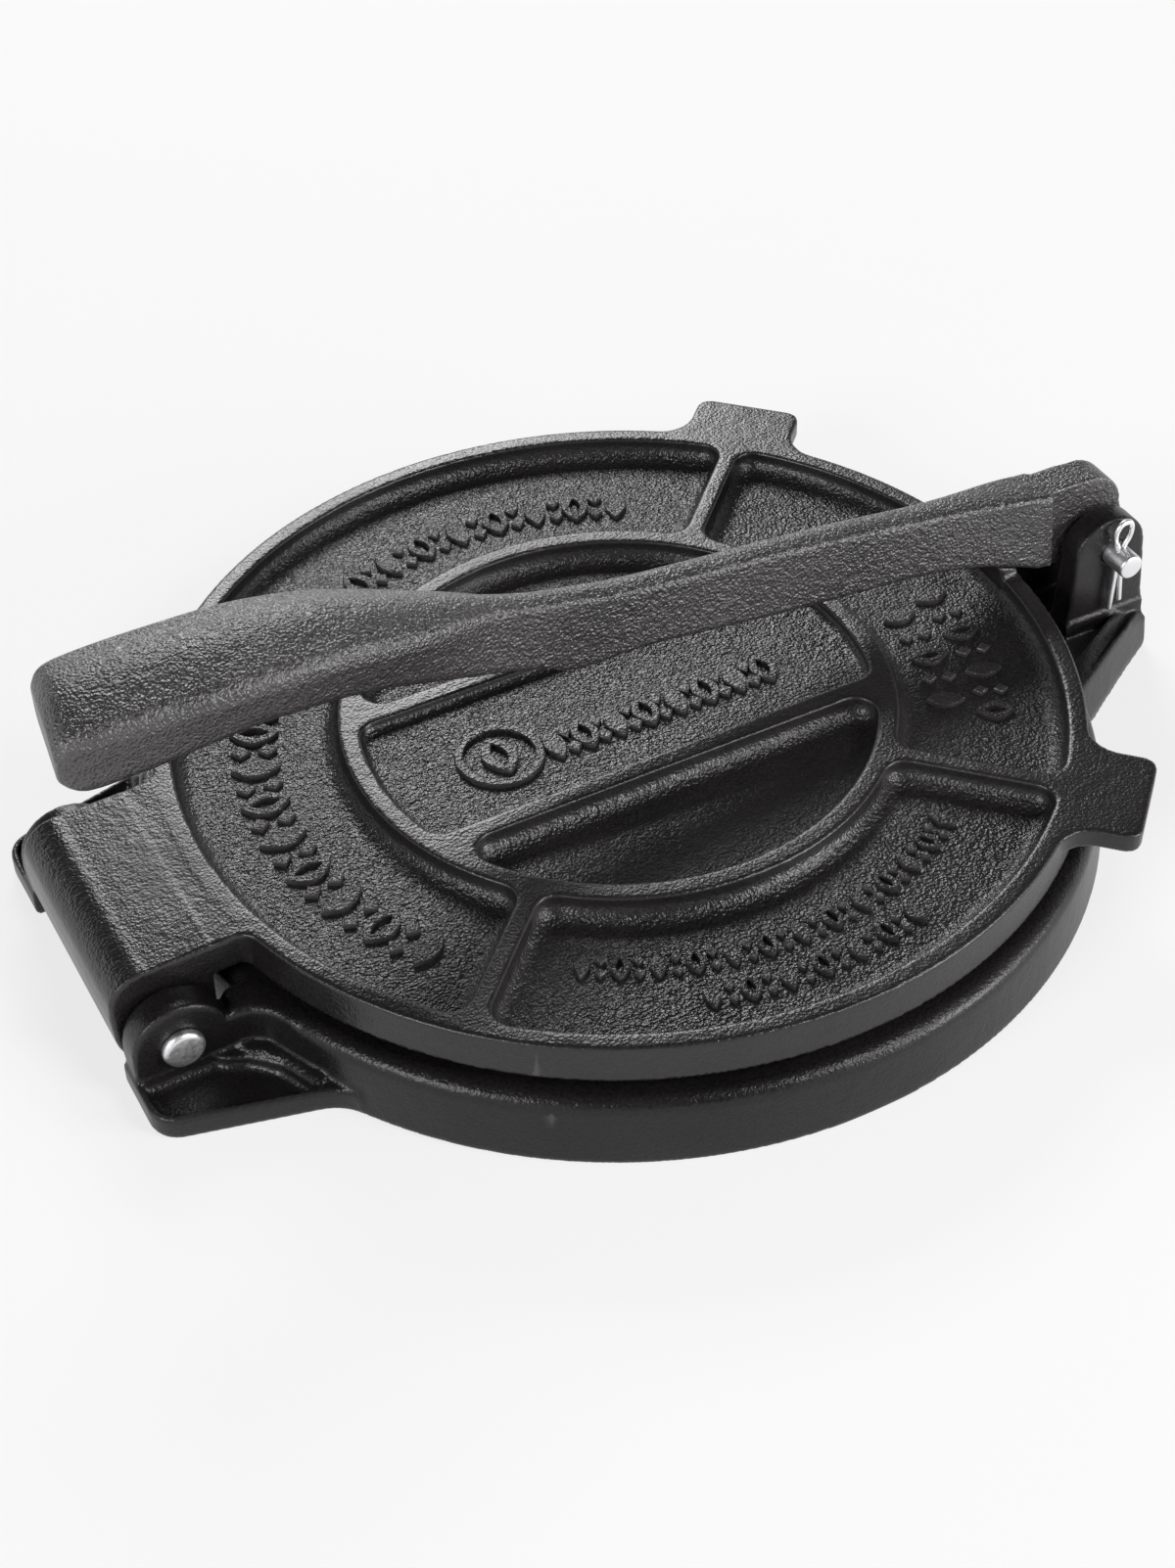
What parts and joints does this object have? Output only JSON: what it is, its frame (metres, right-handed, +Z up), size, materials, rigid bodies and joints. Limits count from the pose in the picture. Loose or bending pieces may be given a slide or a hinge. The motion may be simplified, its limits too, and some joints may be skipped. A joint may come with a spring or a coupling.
{
  "type": "tortilla press",
  "caption": "Round cast-iron tortilla press with a ribbed lid on a pinned hinge and a long lever that swings over to squeeze it shut.",
  "frame": {"origin": "middle of the round base plate, on the table it stands on", "axes": "+X from the lid's hinge to the lever's pivot, +Y along both pins, +Z up"},
  "size_m": [0.2788, 0.227, 0.0869],
  "materials": {
    "iron": "black seasoned, sand-cast grain with an oily satin sheen",
    "steel": "bright zinc-plated steel"
  },
  "bodies": {
    "base": {"base": "iron", "hinge_pin": "steel", "lever_pin": "steel", "hinge_cotter": "steel", "lever_cotter": "steel"},
    "lid": {"lid": "iron"},
    "lever": {"lever": "iron"}
  },
  "joints": [
    {"name": "lever_hinge", "type": "hinge", "parent": "base", "child": "lever", "pos_m": [0.131, 0, 0.031], "axis": [0, 1, 0], "range_deg": [0, 170]},
    {"name": "lid_hinge", "type": "hinge", "parent": "base", "child": "lid", "pos_m": [-0.1242, 0, 0.0126], "axis": [0, -1, 0], "range_deg": [0, 92]}
  ],
  "couplings": [
    {"joint": "lid_hinge", "follows": "lever_hinge", "ratio": 0.108}
  ]
}
